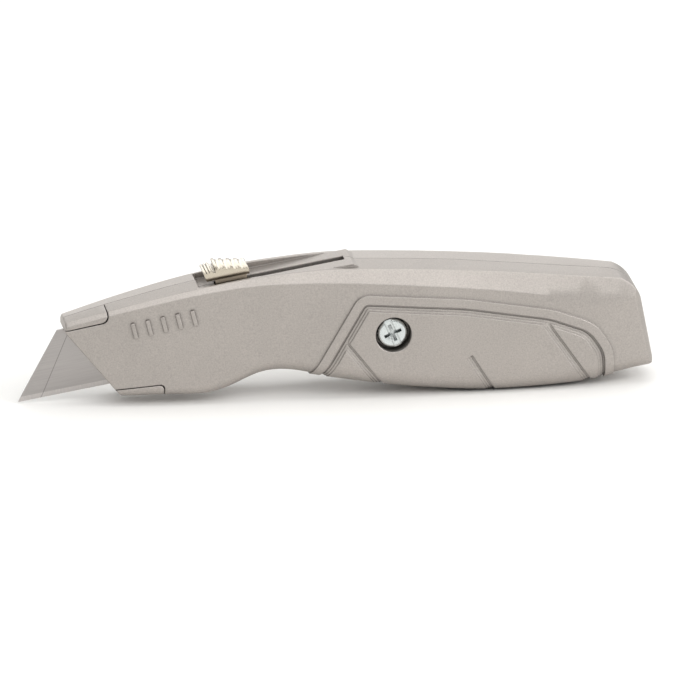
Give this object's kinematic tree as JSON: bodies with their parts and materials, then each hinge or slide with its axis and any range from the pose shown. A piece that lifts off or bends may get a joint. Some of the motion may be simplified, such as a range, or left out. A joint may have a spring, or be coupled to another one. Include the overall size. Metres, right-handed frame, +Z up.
{
  "type": "retractable utility knife",
  "caption": "Retractable utility knife: two-part cast casing with a grip panel, a trapezoid blade on a sliding carrier, a ridged thumb button, a clamp screw and a spare blade store.",
  "frame": {"origin": "under the middle of the overall box, on the plane that the belly of the casing touches, with the knife upright and the cutting edge down", "axes": "+X from the nose to the tail, +Y to the left side of the knife, away from the side with the screw, +Z up"},
  "size_m": [0.1825, 0.024, 0.0395],
  "materials": {
    "cast_casing": "satin, blasted casting",
    "blade_steel": "ground",
    "carrier_plastic": "moulded",
    "magnet_plate": "nickel plated",
    "pin_steel": "drawn",
    "plated_button": "plated",
    "spring_steel": "tempered",
    "screw_zinc": "bright zinc plated",
    "insert_brass": "turned",
    "tray_plastic": "moulded"
  },
  "bodies": {
    "casing": {"left_casing_half": "cast_casing", "detent_strip": "spring_steel", "screw_insert": "insert_brass", "nose_pin": "pin_steel", "tail_pin": "pin_steel", "spare_blade_tray": "tray_plastic", "tray_spring": "spring_steel", "spare_blade_1": "blade_steel", "spare_blade_2": "blade_steel", "spare_blade_3": "blade_steel", "spare_blade_4": "blade_steel", "spare_blade_5": "blade_steel"},
    "right_cover": {"right_casing_half": "cast_casing"},
    "screw": {"clamp_screw": "screw_zinc", "screw_retaining_ring": "spring_steel"},
    "carriage": {"blade": "blade_steel", "blade_carrier": "carrier_plastic", "blade_magnet": "magnet_plate", "button_pin": "pin_steel", "button_spring": "spring_steel", "detent_spring": "spring_steel"},
    "button": {"thumb_button": "plated_button"}
  },
  "joints": [
    {"name": "carriage_slide", "type": "slide", "parent": "casing", "child": "carriage", "axis": [0.9877, 0, 0.1564], "range_m": [0, 0.028], "deforming": ["detent_spring"]},
    {"name": "button_press", "type": "slide", "parent": "carriage", "child": "button", "axis": [0.1564, 0, -0.9877], "range_m": [0, 0.0015], "stiffness_N_per_m": 1200, "springref_m": -0.0005, "deforming": ["button_spring"]},
    {"name": "cover_lift", "type": "slide", "parent": "casing", "child": "right_cover", "axis": [0, -1, 0], "range_m": [0, 0.03]},
    {"name": "screw_turn", "type": "hinge", "parent": "right_cover", "child": "screw", "pos_m": [0.0151, -0.0074, 0.0191], "axis": [0, 1, 0], "continuous": true}
  ]
}
